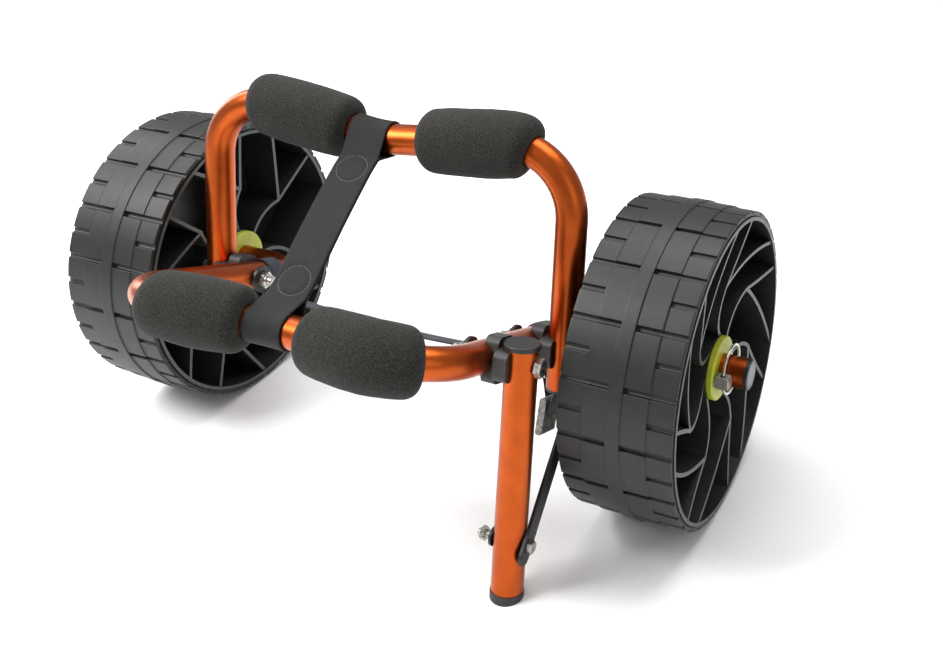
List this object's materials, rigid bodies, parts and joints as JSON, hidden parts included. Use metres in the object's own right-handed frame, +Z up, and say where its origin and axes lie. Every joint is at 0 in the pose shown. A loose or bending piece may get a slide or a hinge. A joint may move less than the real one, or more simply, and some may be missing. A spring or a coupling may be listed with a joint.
{
  "type": "beach cart",
  "caption": "Folding two-wheel beach and hull cart: hinged tube frames with foam-padded bars, wide airless wheels, a swing-down stand, and strap and pin fastenings.",
  "frame": {"origin": "centre of the whole cart's box in plan, on the ground", "axes": "+X along the axle towards the stand's side, +Z up, -Y towards the lower padded bar and the stand's foot"},
  "size_m": [0.599, 0.36, 0.3345],
  "materials": {
    "anodised_tube": "satin",
    "foam": "matte",
    "black_plastic": "matte",
    "wheel_plastic": "satin",
    "tread": "matte",
    "disc_plastic": "satin",
    "zinc_steel": "satin",
    "spring_wire": "polished",
    "black_steel": "satin",
    "strap": "matte",
    "webbing": "matte"
  },
  "bodies": {
    "lower_frame": {"lower_frame_tube": "anodised_tube", "axle_end_plugs": "black_plastic", "lower_pad_left": "foam", "lower_pad_right": "foam", "lower_pivot_saddles": "black_plastic", "pivot_bolts": "zinc_steel", "pivot_nuts": "zinc_steel", "pivot_washers": "black_plastic", "stand_saddle_inner": "black_plastic", "stand_pivot_bolt": "zinc_steel", "stand_pivot_washer": "black_plastic", "stand_pivot_nut": "zinc_steel", "hub_discs": "disc_plastic", "lock_pins": "zinc_steel", "tie_webbing": "webbing", "buckle_webbing": "webbing", "cam_buckle": "zinc_steel"},
    "upper_frame": {"upper_frame_tube": "anodised_tube", "upper_leg_caps": "black_plastic", "upper_pad_left": "foam", "upper_pad_right": "foam", "upper_pivot_saddles": "black_plastic", "stay_upper_bolt": "zinc_steel", "stay_upper_nut": "zinc_steel", "link_strap": "strap"},
    "stand": {"stand_tube": "anodised_tube", "stand_top_cap": "black_plastic", "stand_foot": "black_plastic", "stand_saddle_outer": "black_plastic", "stay_lower_bolt": "zinc_steel", "stay_lower_washer": "black_plastic", "stay_lower_nut": "zinc_steel"},
    "stay": {"stay_bar": "black_steel"},
    "left_wheel": {"wheel_hub_left": "wheel_plastic", "wheel_tread_left": "tread"},
    "right_wheel": {"wheel_hub_right": "wheel_plastic", "wheel_tread_right": "tread"},
    "left_ring": {"lock_ring_left": "spring_wire"},
    "right_ring": {"lock_ring_right": "spring_wire"}
  },
  "joints": [
    {"name": "frame_fold", "type": "hinge", "parent": "lower_frame", "child": "upper_frame", "pos_m": [0, -0.01219, 0.15488], "axis": [1, 0, 0], "range_deg": [0, 48], "deforming": ["link_strap"]},
    {"name": "stand_swing", "type": "hinge", "parent": "lower_frame", "child": "stand", "pos_m": [0, -0.0809, 0.18236], "axis": [1, 0, 0], "range_deg": [0, 9.1]},
    {"name": "stay_swing", "type": "hinge", "parent": "stand", "child": "stay", "pos_m": [0, -0.10854, 0.044], "axis": [1, 0, 0], "range_deg": [-5.4, 0]},
    {"name": "left_wheel_spin", "type": "hinge", "parent": "lower_frame", "child": "left_wheel", "pos_m": [-0.2365, 0.05002, 0.13], "axis": [1, 0, 0], "continuous": true},
    {"name": "right_wheel_spin", "type": "hinge", "parent": "lower_frame", "child": "right_wheel", "pos_m": [0.2365, 0.05002, 0.13], "axis": [1, 0, 0], "continuous": true},
    {"name": "left_ring_swing", "type": "hinge", "parent": "lower_frame", "child": "left_ring", "pos_m": [-0.282, 0.03202, 0.13], "axis": [0, 0, 1], "range_deg": [0, 170]},
    {"name": "right_ring_swing", "type": "hinge", "parent": "lower_frame", "child": "right_ring", "pos_m": [0.282, 0.03202, 0.13], "axis": [0, 0, -1], "range_deg": [0, 170]}
  ],
  "couplings": [
    {"joint": "stand_swing", "follows": "frame_fold", "ratio": 0.189},
    {"joint": "stay_swing", "follows": "frame_fold", "ratio": -0.112}
  ]
}
